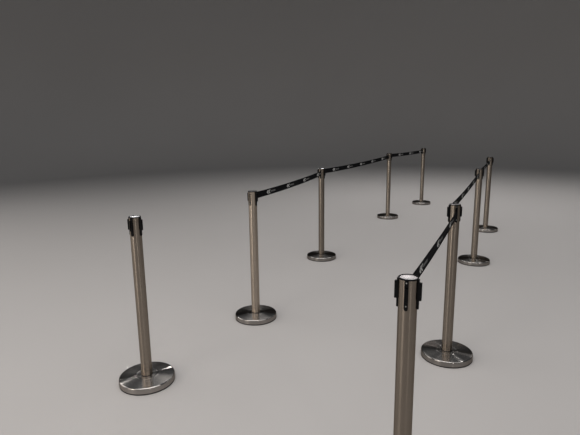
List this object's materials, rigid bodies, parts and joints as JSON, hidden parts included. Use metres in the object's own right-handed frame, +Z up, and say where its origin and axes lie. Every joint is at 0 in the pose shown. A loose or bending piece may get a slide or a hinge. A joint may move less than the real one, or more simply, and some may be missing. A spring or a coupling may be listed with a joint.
{
  "type": "queue barrier lane",
  "caption": "Queue lane of free-standing stainless posts with heavy round bases; black webbing belts leave one head and hook on the next, leaving an open way between two lines.",
  "frame": {"origin": "on the floor under the middle of the lane's overall box", "axes": "+Y along the lane away from its entry, +X to the right-hand line, +Z up"},
  "size_m": [1.9236, 7.5108, 1],
  "materials": {
    "floor_ring_rubber": "matt black moulded rubber, dusty",
    "cast_iron": "rough black cast iron",
    "zinc_steel": "dull zinc plated steel",
    "cover_steel": "spun stainless steel, circular brushing, glossy at the round edge",
    "tube_steel": "stainless steel tube brushed round its length, warm grey",
    "seal_rubber": "matt black rubber",
    "head_plastic": "black moulded plastic, fine satin grain",
    "cap_silver": "pale satin silver disc",
    "webbing": "black woven polyester webbing with close ribs"
  },
  "bodies": {
    "root": {"floor_rings": "floor_ring_rubber", "cast_weights": "cast_iron", "anchor_washers": "zinc_steel", "anchor_bolts": "zinc_steel", "foot_plugs": "zinc_steel", "base_covers": "cover_steel", "foot_seals": "seal_rubber", "post_tubes": "tube_steel", "head_cores": "head_plastic", "spool_pins": "zinc_steel", "belt_spools": "webbing", "mouth_inserts": "head_plastic", "insert_screws": "zinc_steel", "receivers": "head_plastic", "top_rims": "head_plastic", "cap_discs": "cap_silver", "parked_clips": "head_plastic", "hooked_clips": "head_plastic", "belt_left_1": "webbing", "belt_left_2": "webbing", "belt_left_3": "webbing", "belt_right_1": "webbing", "belt_right_2": "webbing", "belt_right_3": "webbing"}
  },
  "joints": []
}
